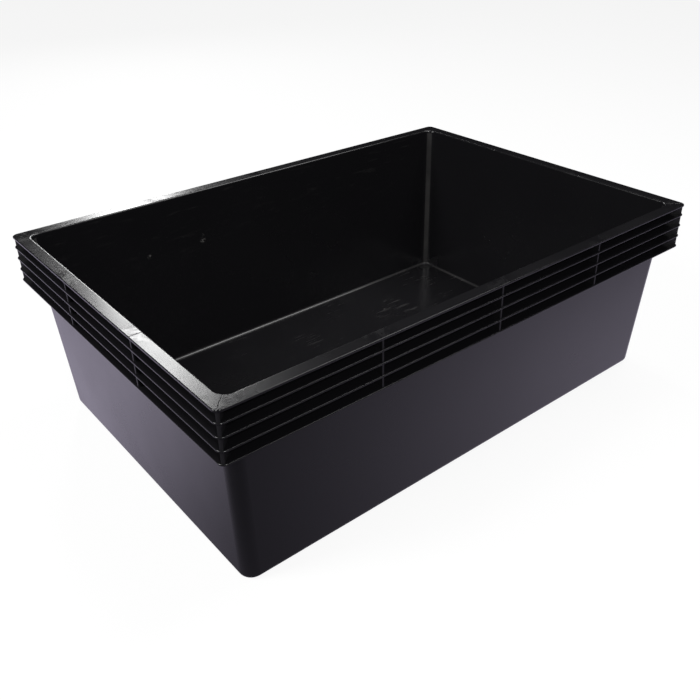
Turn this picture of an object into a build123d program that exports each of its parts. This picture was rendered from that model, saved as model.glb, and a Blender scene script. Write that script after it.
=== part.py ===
from build123d import *
import os
from math import radians, tan

# Rectangular mortar mixing tub, moulded in one piece from black polyolefin.
# Millimetres. +Z is up, X runs along the length and Y along the width. The origin is the
# centre of the flat underside. The long side at -Y is called the front.
#
# The tub is a drafted open box. Its stiff rim is a flat flange on top and four equal ribs
# below it, all of them rings with one outline, tied together by upright webs. The moulding
# is divided into nodes along those features, and neighbouring nodes meet face to face.

# Overall size
LENGTH = 1000.0             # outside the rim, along X
WIDTH = 680.0               # outside the rim, along Y
HEIGHT = 340.0              # underside to the top of the rim

# Open box
WALL = 4.0                  # side walls, measured level
FLOOR = 4.5
DRAFT_ANGLE = 3.15          # lean of each wall from upright, in degrees
BODY_CORNER_RADIUS = 22.0   # outside the upright corners
INNER_FLOOR_RADIUS = 6.0    # between the floor and the walls, inside
RIM_OVERHANG = 19.0         # rim edge to the outside of the wall, at the top

# Flange
FLANGE_THICKNESS = 4.0
RIM_CORNER_RADIUS = 11.0    # plan corners of the flange and the ribs
COLLAR_DEPTH = 6.0          # top of the wall that belongs to the flange's node
INNER_LIP_RADIUS = 3.5      # between the flange's top and the inside of the wall
FLANGE_EDGE_RADIUS = 1.4

# Ribs under the flange
RIB_COUNT = 4
RIB_PITCH = 20.7            # from the top of the rim to the first rib's middle, and so on
RIB_THICKNESS = 3.0
RIB_EDGE_RADIUS = 1.3

# Upright webs between the ribs
LONG_SIDE_WEBS = 3
LONG_SIDE_WEB_PITCH = 240.0
SHORT_SIDE_WEBS = 2
SHORT_SIDE_WEB_PITCH = 226.7
WEB_THICKNESS = 3.0
CORNER_WEB_THICKNESS = 5.0
WEB_RECESS = 2.0            # webs stop this far inside the rim's outline

# Mark that the injection gate leaves under the floor
GATE_DISH_RADIUS = 18.0
GATE_DISH_DEPTH = 1.2
GATE_STUB_RADIUS = 3.5
GATE_STUB_HEIGHT = 0.8

BODY_INNER_CORNER_RADIUS = BODY_CORNER_RADIUS - WALL
OUTER_FLOOR_RADIUS = INNER_FLOOR_RADIUS + WALL
COLLAR_BOTTOM = HEIGHT - COLLAR_DEPTH
CLEAR = 10.0                # how far a cutting block runs past what it cuts


def rim_plan(inset=0.0):
    """The rim's outline, or one that lies inset inside it."""
    return RectangleRounded(LENGTH - 2 * inset, WIDTH - 2 * inset, RIM_CORNER_RADIUS - inset)


def wall_plan(height, depth, corner_radius):
    """A level section through the box, depth inside the outside of its wall."""
    inset = RIM_OVERHANG + (HEIGHT - height) * tan(radians(DRAFT_ANGLE)) + depth
    outline = RectangleRounded(LENGTH - 2 * inset, WIDTH - 2 * inset, corner_radius)
    return Plane.XY.offset(height) * outline


def drafted_block(bottom, top, depth, corner_radius, floor_radius):
    """A solid block with the box's draft and a rounded lower edge."""
    sections = [wall_plan(z, depth, corner_radius) for z in (bottom, top)]
    block = loft(sections, ruled=True)
    lower_edges = block.faces().sort_by(Axis.Z)[0].edges()
    return fillet(lower_edges, floor_radius)


def ring_slab(bottom, thickness, edge_radius):
    """A level slab of the rim's outline with rounded edges."""
    slab = extrude(Plane.XY.offset(bottom) * rim_plan(), thickness)
    level_faces = slab.faces().filter_by(Axis.Z)
    return fillet(level_faces.edges(), edge_radius)


def below(shape, height):
    return split(shape, Plane.XY.offset(height), keep=Keep.BOTTOM)


def above(shape, height):
    return split(shape, Plane.XY.offset(height), keep=Keep.TOP)


def rib_middle(number):
    return HEIGHT - number * RIB_PITCH


def gate_mark():
    """The shallow dish that is cut from the underside, around the gate's stub."""
    dish = extrude(Circle(GATE_DISH_RADIUS), GATE_DISH_DEPTH)
    stub = extrude(Circle(GATE_STUB_RADIUS), GATE_STUB_HEIGHT)
    return dish - Pos(0, 0, GATE_DISH_DEPTH - GATE_STUB_HEIGHT) * stub


def tub_shell(outer_block, cavity):
    """Floor and four walls, up to the collar."""
    return below(outer_block, COLLAR_BOTTOM) - cavity - gate_mark()


def rim_flange(outer_block, cavity):
    """The flat flange with the top of the wall, and a round lip into the tub."""
    slab = ring_slab(HEIGHT - FLANGE_THICKNESS, FLANGE_THICKNESS, FLANGE_EDGE_RADIUS)
    ring = slab + above(outer_block, COLLAR_BOTTOM) - cavity
    top_face = ring.faces().filter_by(Axis.Z).sort_by(Axis.Z)[-1]
    lip = top_face.inner_wires()[0].edges()
    return fillet(lip, INNER_LIP_RADIUS)


def rib(number, outer_block):
    """One of the ribs, counted down from the flange."""
    bottom = rib_middle(number) - RIB_THICKNESS / 2
    return ring_slab(bottom, RIB_THICKNESS, RIB_EDGE_RADIUS) - outer_block


def web_bays(outer_block):
    """The free space of each bay, as a block inside the webs' outline."""
    bays = []
    ceiling = HEIGHT - FLANGE_THICKNESS
    for number in range(1, RIB_COUNT + 1):
        ledge = rib_middle(number) + RIB_THICKNESS / 2
        plan = Plane.XY.offset(ledge) * rim_plan(WEB_RECESS)
        bays.append(extrude(plan, ceiling - ledge) - outer_block)
        ceiling = ledge - RIB_THICKNESS
    return bays


def web(bays, x, y, angle, thickness):
    """An upright plate through all the bays: one solid in each, outwards from (x, y)."""
    reach = RIM_OVERHANG + BODY_CORNER_RADIUS + HEIGHT * tan(radians(DRAFT_ANGLE)) + WALL
    plate = Pos(x, y, HEIGHT / 2) * Rot(0, 0, angle) * Box(2 * reach, thickness, 2 * HEIGHT)
    return Compound(children=[solid for bay in bays for solid in (bay & plate).solids()])


def along(number, count, pitch):
    """Where that one of the webs of a side stands, from the middle of the side."""
    return (number - (count + 1) / 2) * pitch


def side_webs(bays):
    """Node name to solids for the webs along the four sides."""
    webs = {}
    for side, across in (("front", -1), ("back", 1)):
        for number in range(1, LONG_SIDE_WEBS + 1):
            x = along(number, LONG_SIDE_WEBS, LONG_SIDE_WEB_PITCH)
            webs[f"{side}_web_{number}"] = web(bays, x, across * WIDTH / 2, 90, WEB_THICKNESS)
    for side, across in (("left", -1), ("right", 1)):
        for number in range(1, SHORT_SIDE_WEBS + 1):
            y = along(number, SHORT_SIDE_WEBS, SHORT_SIDE_WEB_PITCH)
            webs[f"{side}_web_{number}"] = web(bays, across * LENGTH / 2, y, 0, WEB_THICKNESS)
    return webs


def corner_webs(bays):
    """Node name to solids for the diagonal webs in the four corners."""
    webs = {}
    for end, across_y in (("front", -1), ("back", 1)):
        for side, across_x in (("left", -1), ("right", 1)):
            x = across_x * LENGTH / 2
            y = across_y * WIDTH / 2
            angle = 45 * across_x * across_y
            webs[f"corner_web_{end}_{side}"] = web(bays, x, y, angle, CORNER_WEB_THICKNESS)
    return webs


def build():
    """Every node, by name."""
    outer_block = drafted_block(0, HEIGHT, 0, BODY_CORNER_RADIUS, OUTER_FLOOR_RADIUS)
    cavity = drafted_block(
        FLOOR, HEIGHT + CLEAR, WALL, BODY_INNER_CORNER_RADIUS, INNER_FLOOR_RADIUS
    )
    nodes = {
        "tub_shell": tub_shell(outer_block, cavity),
        "rim_flange": rim_flange(outer_block, cavity),
    }
    for number in range(1, RIB_COUNT + 1):
        nodes[f"rim_rib_{number}"] = rib(number, outer_block)
    bays = web_bays(outer_block)
    nodes.update(side_webs(bays))
    nodes.update(corner_webs(bays))
    return nodes


os.makedirs("parts", exist_ok=True)
for name, shape in build().items():
    export_step(shape, f"parts/{name}.step")
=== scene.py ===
from math import cos, pi, radians, sin

import bpy
from mathutils import Matrix, Vector


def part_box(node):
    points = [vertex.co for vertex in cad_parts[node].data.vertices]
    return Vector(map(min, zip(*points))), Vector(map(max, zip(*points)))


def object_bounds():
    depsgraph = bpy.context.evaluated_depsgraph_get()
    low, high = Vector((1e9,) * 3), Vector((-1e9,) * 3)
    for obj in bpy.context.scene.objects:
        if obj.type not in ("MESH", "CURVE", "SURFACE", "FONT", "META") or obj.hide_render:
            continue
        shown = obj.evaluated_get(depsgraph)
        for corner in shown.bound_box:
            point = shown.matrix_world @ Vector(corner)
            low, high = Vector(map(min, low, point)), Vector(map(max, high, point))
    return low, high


# Looks for the mortar mixing tub: one black polyolefin moulding on a pale studio floor.
# Metres. The long side at -Y is the front. Azimuths are counted from +Y towards +X.

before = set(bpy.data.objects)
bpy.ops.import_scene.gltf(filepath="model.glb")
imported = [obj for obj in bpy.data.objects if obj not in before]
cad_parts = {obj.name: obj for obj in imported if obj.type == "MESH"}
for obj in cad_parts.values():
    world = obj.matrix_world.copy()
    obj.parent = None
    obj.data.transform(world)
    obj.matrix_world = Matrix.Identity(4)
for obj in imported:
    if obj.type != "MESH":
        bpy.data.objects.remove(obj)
cad_low, cad_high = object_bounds()
centre = (cad_low + cad_high) / 2
rim_height = cad_high.z

# Camera
VIEW_AZIMUTH = 39.59            # direction of view, in degrees
VIEW_DOWN = 29.56
VIEW_ROLL = -0.59
VIEW_DISTANCE = 1.531
AIM_OFFSET = Vector((-0.0022, -0.0101, -0.0345))    # tub's centre to the point aimed at
LENS = 41.49                    # mm
SENSOR_WIDTH = 36.0             # mm
SHIFT = (-0.0199, -0.0411)

# Stage
FLOOR_SIZE = 60.0
FLOOR_GLOW = 0.90               # light of its own that the floor shows to the camera
FLOOR_WHITE = 0.12
FLOOR_DROP = 0.0004             # the floor that is seen lies this far under the tub
GLOW_DROP = 0.0008              # and the one that is reflected this far
# The reflected floor's glow is painted light and shade: a painted pool of light behind the tub and
# towards its right end, and the tub's painted shadow in front, darkest at the corner nearest the
# camera.
GLOW_CORNER = 0.11              # reflected floor's glow, at the corner nearest the camera
GLOW_BEHIND = 0.70              # added towards the back
GLOW_BESIDE = 0.55              # added towards the right
GLOW_TINT = (0.97, 0.89, 1.13)
WORLD_SEEN = 1.0                # the world's strength to the camera
WORLD_LIGHT = 0.002             # and to everything else

# Plastic
CARBON_BLACK = (0.0085, 0.0082, 0.0094)
# The grey below is the dust's colour, and also the colour of the painted highlight lines in the
# inside corners.
GREY_DUST_AND_HIGHLIGHT = (0.30, 0.29, 0.28)
SHINE = 0.25                    # roughness, on average
WAVE_HEIGHT = 0.0006            # the surface's slow waves
GRAIN_HEIGHT = 0.000004
WEB_ROUGHER = 0.3
LINE_DEPTH = 0.00025            # of the lines across the flange, on the left and at the corners
FRONT_LINE_DEPTH = 0.0001       # and on the front
SWIRL_SHINE = 0.08              # how much the roughness varies in the swirls
SCUFF_DUST = 0.10               # how much dust shows, from 0 to 1
FLECK_DUST = 0.4
STREAK_DUST = 0.025
MARK_DUST = 0.45
CORNER_HIGHLIGHT = 0.12              # how much painted highlight shows, in the upright inside corners
FILLET_HIGHLIGHT = 0.08              # along the edge of the floor
FLOOR_HEIGHT = 0.0045
RIM_TO_INSIDE = 0.023           # rim edge to the inside of the wall, at the top
WALL_LEAN = 0.0550              # how far a wall leans in for each metre down
WALL_MARKS = (                  # small marks on the inside of the back wall: place and radius
    ((-0.152, 0.311, 0.239), 0.008),
    ((-0.268, 0.311, 0.238), 0.006),
    ((-0.150, 0.311, 0.250), 0.004),
)


def heading(azimuth, elevation):
    """Unit vector that points to that azimuth and elevation, in degrees."""
    a, e = radians(azimuth), radians(elevation)
    return Vector((sin(a) * cos(e), cos(a) * cos(e), sin(e)))


# ---------------------------------------------------------------- camera, lights and floor

def make_camera():
    forward = heading(VIEW_AZIMUTH, -VIEW_DOWN)
    right = forward.cross(Vector((0, 0, 1))).normalized()
    right.rotate(Matrix.Rotation(radians(-VIEW_ROLL), 3, forward))
    up = right.cross(forward)
    data = bpy.data.cameras.new("camera")
    data.sensor_width = SENSOR_WIDTH
    data.lens = LENS
    data.shift_x, data.shift_y = SHIFT
    data.clip_start, data.clip_end = 0.05, 200
    camera = bpy.data.objects.new("camera", data)
    rotation = Matrix((right, up, -forward)).transposed()
    place = centre + AIM_OFFSET - forward * VIEW_DISTANCE
    camera.matrix_world = Matrix.Translation(place) @ rotation.to_4x4()
    bpy.context.scene.collection.objects.link(camera)
    bpy.context.scene.camera = camera


def softbox(name, azimuth, elevation, distance, width, height, radiance):
    """A rectangular lamp that faces the tub. Its power follows from its radiance and size."""
    data = bpy.data.lights.new(name, "AREA")
    data.shape = "RECTANGLE"
    data.size, data.size_y = width, height
    data.energy = radiance * width * height * pi
    lamp = bpy.data.objects.new(name, data)
    towards = heading(azimuth, elevation)
    lamp.location = centre + towards * distance
    lamp.rotation_mode = "QUATERNION"
    lamp.rotation_quaternion = towards.to_track_quat("Z", "Y")
    bpy.context.scene.collection.objects.link(lamp)


def plane(name, size, height):
    """A level square of the stage."""
    h = size / 2
    corners = [(x, y, height) for x, y in ((-h, -h), (h, -h), (h, h), (-h, h))]
    mesh = bpy.data.meshes.new(name)
    mesh.from_pydata(corners, [], [(0, 1, 2, 3)])
    thing = bpy.data.objects.new(name, mesh)
    bpy.context.scene.collection.objects.link(thing)
    return thing


def grey(value):
    return (value, value, value, 1)


def make_floor():
    """Two planes: the camera sees a nearly white one, and the tub reflects the one below it, whose
    glow is painted light with a painted shadow of the tub.
    """
    seen = plane("studio_floor", FLOOR_SIZE, -FLOOR_DROP)
    n = Nodes("studio_floor")
    n.shader.inputs["Base Color"].default_value = grey(FLOOR_WHITE)
    n.shader.inputs["Roughness"].default_value = 1.0
    n.shader.inputs["Specular IOR Level"].default_value = 0.0
    n.shader.inputs["Emission Color"].default_value = grey(1.0)
    n.shader.inputs["Emission Strength"].default_value = FLOOR_GLOW
    n.material.cycles.emission_sampling = "NONE"
    seen.data.materials.append(n.material)
    seen.visible_glossy = False
    seen.visible_diffuse = False
    seen.visible_shadow = False

    glow = plane("floor_in_reflections", FLOOR_SIZE, -GLOW_DROP)
    n = Nodes("floor_in_reflections")
    x, y, z = n.axes
    # Painted light and shadow: the glow grows towards the back and the right, and stays low in
    # front, where the tub's shadow is painted.
    behind = n.ramp(y, cad_low.y, cad_high.y, 0.0, GLOW_BEHIND)
    beside = n.ramp(x, cad_low.x - 0.1, cad_high.x, 0.0, GLOW_BESIDE)
    near = n.ramp(y, cad_low.y - 0.45, cad_low.y, 0.35, 1.0)
    strength = n.sum(n.sum(behind, n.product(beside, near)), GLOW_CORNER)
    n.shader.inputs["Base Color"].default_value = grey(0.0)
    n.shader.inputs["Specular IOR Level"].default_value = 0.0
    n.shader.inputs["Emission Color"].default_value = (*GLOW_TINT, 1)
    n.feed(n.shader.inputs["Emission Strength"], strength)
    n.material.cycles.emission_sampling = "NONE"
    glow.data.materials.append(n.material)
    glow.visible_camera = False


def make_world():
    """White where the camera sees past the floor, and almost dark as a light."""
    world = bpy.data.worlds.new("studio")
    bpy.context.scene.world = world
    world.use_nodes = True
    tree = world.node_tree
    background = tree.nodes["Background"]
    background.inputs["Color"].default_value = grey(1.0)
    path = tree.nodes.new("ShaderNodeLightPath")
    strength = tree.nodes.new("ShaderNodeMapRange")
    strength.inputs["To Min"].default_value = WORLD_LIGHT
    strength.inputs["To Max"].default_value = WORLD_SEEN
    tree.links.new(path.outputs["Is Camera Ray"], strength.inputs["Value"])
    tree.links.new(strength.outputs["Result"], background.inputs["Strength"])


def make_stage():
    bpy.context.scene.view_settings.view_transform = "Standard"
    make_camera()
    make_floor()
    make_world()
    softbox("back_softbox", 15.8, 29.0, 3.5, 0.42, 1.5, 14.0)
    softbox("left_softbox", -78.0, 38.0, 3.4, 1.1, 1.1, 18.0)
    softbox("front_softbox", -158.0, 38.0, 3.4, 0.5, 0.5, 50.0)
    softbox("top_softbox", 103.0, 66.0, 3.0, 1.7, 1.7, 5.0)


# ---------------------------------------------------------------- plastic

class Nodes:
    """A short way to write a material's node tree."""

    def __init__(self, name):
        self.material = bpy.data.materials.new(name)
        self.material.use_nodes = True
        self.tree = self.material.node_tree
        self.shader = self.tree.nodes["Principled BSDF"]
        self.place = self.tree.nodes.new("ShaderNodeTexCoord").outputs["Object"]
        self.axes = self.add("ShaderNodeSeparateXYZ", None, Vector=self.place).outputs

    def add(self, kind, settings=None, **inputs):
        """A new node. An underscore in an input's name stands for a space."""
        node = self.tree.nodes.new(kind)
        for key, value in (settings or {}).items():
            setattr(node, key, value)
        for key, value in inputs.items():
            self.feed(node.inputs[key.replace("_", " ")], value)
        return node

    def feed(self, socket, value):
        """Give the socket a value, or link it to another node's output."""
        if isinstance(value, bpy.types.NodeSocket):
            self.tree.links.new(value, socket)
        else:
            socket.default_value = value

    def noise(self, scale, detail=2.0, roughness=0.5, place=None):
        node = self.add("ShaderNodeTexNoise", None, Scale=scale, Detail=detail, Roughness=roughness)
        self.tree.links.new(place or self.place, node.inputs["Vector"])
        return node.outputs["Fac"]

    def ramp(self, value, low, high, to_low=0.0, to_high=1.0):
        """value from low to high becomes to_low to to_high, and stays there beyond."""
        node = self.add("ShaderNodeMapRange")
        node.interpolation_type = "SMOOTHSTEP"
        settings = {"Value": value, "From Min": low, "From Max": high,
                    "To Min": to_low, "To Max": to_high}
        for key, setting in settings.items():
            self.feed(node.inputs[key], setting)
        return node.outputs["Result"]

    def sum(self, a, b):
        return self.maths("ADD", a, b)

    def product(self, a, b):
        return self.maths("MULTIPLY", a, b)

    def maths(self, operation, a, b=0.0):
        node = self.add("ShaderNodeMath", {"operation": operation})
        self.feed(node.inputs[0], a)
        self.feed(node.inputs[1], b)
        return node.outputs[0]


def band(n, value, middle, half_width, softness):
    """1 within half_width of middle and 0 beyond, with soft edges."""
    away = n.maths("ABSOLUTE", n.maths("SUBTRACT", value, middle))
    return n.ramp(away, half_width, half_width + softness, 1.0, 0.0)


def plastic(name):
    """Black plastic with a moulded surface: fine grain, soft clouds of gloss and slight waves."""
    n = Nodes(name)
    n.shader.inputs["IOR"].default_value = 1.51
    n.shader.inputs["Base Color"].default_value = (*CARBON_BLACK, 1)
    clouds = n.noise(5.0, 4.0, 0.6)
    n.roughness = n.ramp(clouds, 0.3, 0.7, SHINE - 0.03, SHINE + 0.03)
    n.height = n.product(n.noise(3.0, 2.0), WAVE_HEIGHT)
    grain = n.product(n.noise(900.0, 2.0), GRAIN_HEIGHT)
    n.height = n.sum(n.height, grain)
    return n


def finish_plastic(n):
    """Link the height and the roughness that were gathered, and give the material back."""
    bump = n.add("ShaderNodeBump", None, Strength=1.0, Distance=1.0, Height=n.height)
    n.feed(n.shader.inputs["Normal"], bump.outputs["Normal"])
    n.feed(n.shader.inputs["Roughness"], n.roughness)
    return n.material


def wall_plastic():
    """The tub's walls and floor, with the dust and scuffs that they carry, and painted highlights
    in the upright inside corners and along the edge of the floor.
    """
    n = plastic("wall_plastic")
    x, y, z = n.axes
    on_floor = n.product(n.ramp(z, 0.006, 0.008, 1.0, 0.0), n.ramp(z, 0.0035, 0.0042))

    # Scuffs and flecks on the floor, in the part that is used most
    stretched = n.add("ShaderNodeMapping", None, Vector=n.place,
                      Scale=(13, 110, 26), Rotation=(0, 0, 0.25))
    strokes = n.noise(1.0, 5.0, 0.62, stretched.outputs["Vector"])
    used_area = n.product(n.ramp(n.noise(9.0, 2.0), 0.45, 0.62), n.ramp(x, cad_low.x * 0.5, 0.1))
    scuffs = n.product(n.product(n.ramp(strokes, 0.52, 0.72), used_area), on_floor)
    flecks = n.add("ShaderNodeTexVoronoi", None, Vector=n.place, Scale=22.0).outputs["Distance"]
    flecks = n.product(n.ramp(flecks, 0.03, 0.05, 1.0, 0.0), used_area)
    dust_and_highlight = n.sum(n.product(scuffs, SCUFF_DUST), n.product(n.product(flecks, on_floor), FLECK_DUST))

    # Slanting streaks and small marks, high up on the inside of the back wall
    leaning = n.add("ShaderNodeMapping", None, Vector=n.place,
                    Rotation=(0, 0.30, 0), Scale=(16, 9, 120))
    streaks = n.noise(1.0, 4.0, 0.6, leaning.outputs["Vector"])
    high_up = n.product(n.ramp(z, 0.50 * rim_height, 0.80 * rim_height), n.ramp(y, 0.28, 0.30))
    dust_and_highlight = n.sum(dust_and_highlight, n.product(n.product(n.ramp(streaks, 0.58, 0.72), high_up), STREAK_DUST))
    for place, radius in WALL_MARKS:
        far = n.add("ShaderNodeVectorMath", {"operation": "DISTANCE"})
        n.feed(far.inputs[0], n.place)
        n.feed(far.inputs[1], place)
        ragged = n.product(n.ramp(n.noise(260.0, 3.0), 0.45, 0.65), MARK_DUST)
        spot = n.ramp(far.outputs["Value"], 0.3 * radius, radius, 1.0, 0.0)
        dust_and_highlight = n.sum(dust_and_highlight, n.product(spot, ragged))

    # Painted highlights: pale lines in the upright inside corners and along the edge of the floor
    lean = n.product(n.maths("SUBTRACT", rim_height, z), WALL_LEAN)
    from_end = n.maths("SUBTRACT", cad_high.x - RIM_TO_INSIDE, n.sum(n.maths("ABSOLUTE", x), lean))
    from_side = n.maths("SUBTRACT", cad_high.y - RIM_TO_INSIDE, n.sum(n.maths("ABSOLUTE", y), lean))
    inside = n.product(n.ramp(from_end, 0.0, 0.001), n.ramp(from_side, 0.0, 0.001))
    inside = n.product(inside, n.ramp(z, 0.0040, 0.0045))
    upright = band(n, n.sum(from_end, from_side), 0.0100, 0.0010, 0.0015)
    above = n.maths("SUBTRACT", z, FLOOR_HEIGHT)
    level = band(n, n.sum(n.maths("MINIMUM", from_end, from_side), above), 0.0033, 0.0006, 0.0014)
    painted_highlight = n.sum(n.product(upright, CORNER_HIGHLIGHT), n.product(level, FILLET_HIGHLIGHT))
    uneven = n.ramp(n.noise(14.0, 3.0), 0.35, 0.65, 0.6, 1.1)
    dust_and_highlight = n.sum(dust_and_highlight, n.product(n.product(painted_highlight, inside), uneven))

    dust_and_highlight = n.maths("MINIMUM", dust_and_highlight, 1.0)
    # The grey mixed in here is partly real dust and scuffs and partly the painted highlight lines.
    mix = n.add("ShaderNodeMix", {"data_type": "RGBA"})
    n.feed(mix.inputs["Factor"], dust_and_highlight)
    mix.inputs[6].default_value = (*CARBON_BLACK, 1)
    mix.inputs[7].default_value = (*GREY_DUST_AND_HIGHLIGHT, 1)
    n.feed(n.shader.inputs["Base Color"], mix.outputs[2])
    n.roughness = n.sum(n.roughness, n.product(scuffs, 0.12))
    return finish_plastic(n)


def web_plastic():
    """The webs, which are rougher than the rest, as narrow slots in a mould stay unpolished."""
    n = plastic("web_plastic")
    n.roughness = n.sum(n.roughness, WEB_ROUGHER)
    return finish_plastic(n)


def rim_plastic():
    """The rim, with the lines where the melt closed over each web and swirls beside them."""
    n = plastic("rim_plastic")
    x, y, z = n.axes
    on_flange = n.ramp(z, rim_height - 0.006, rim_height - 0.003)
    lines = 0.0
    swirled = 0.0
    for side, axis, along, depth in (("left", y, 1, LINE_DEPTH), ("front", x, 0, FRONT_LINE_DEPTH)):
        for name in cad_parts:
            if name.startswith(side + "_web"):
                low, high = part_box(name)
                middle = (low[along] + high[along]) / 2
                lines = n.sum(lines, n.product(band(n, axis, middle, 0.0003, 0.0012), depth))
                swirled = n.sum(swirled, band(n, axis, middle, 0.010, 0.030))
    from_end = n.maths("SUBTRACT", cad_high.x, n.maths("ABSOLUTE", x))
    from_side = n.maths("SUBTRACT", cad_high.y, n.maths("ABSOLUTE", y))
    near_end = n.ramp(from_end, 0.02, 0.07, 1.0, 0.0)
    near_side = n.ramp(from_side, 0.02, 0.07, 1.0, 0.0)
    near_corner = n.product(near_end, near_side)
    swirled = n.sum(swirled, near_corner)
    mitre = band(n, n.maths("SUBTRACT", from_end, from_side), 0.0, 0.0003, 0.0012)
    lines = n.sum(lines, n.product(n.product(mitre, near_corner), LINE_DEPTH))
    bent = n.noise(18.0, 1.0)
    place = n.add("ShaderNodeVectorMath", {"operation": "ADD"})
    n.feed(place.inputs[0], n.place)
    offset = n.add("ShaderNodeCombineXYZ", None, X=n.product(bent, 0.06), Y=n.product(bent, -0.05))
    n.feed(place.inputs[1], offset.outputs["Vector"])
    swirls = n.noise(45.0, 4.0, 0.65, place.outputs["Vector"])
    swirls = n.product(n.ramp(swirls, 0.35, 0.65, -SWIRL_SHINE, SWIRL_SHINE), swirled)
    n.roughness = n.sum(n.roughness, n.product(swirls, on_flange))
    n.height = n.maths("SUBTRACT", n.height, n.product(lines, on_flange))
    return finish_plastic(n)


def make_looks():
    wall = wall_plastic()
    rim = rim_plastic()
    webs = web_plastic()
    for name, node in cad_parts.items():
        if name == "tub_shell":
            look = wall
        elif "web" in name:
            look = webs
        else:
            look = rim
        node.data.materials.clear()
        node.data.materials.append(look)


make_stage()
make_looks()
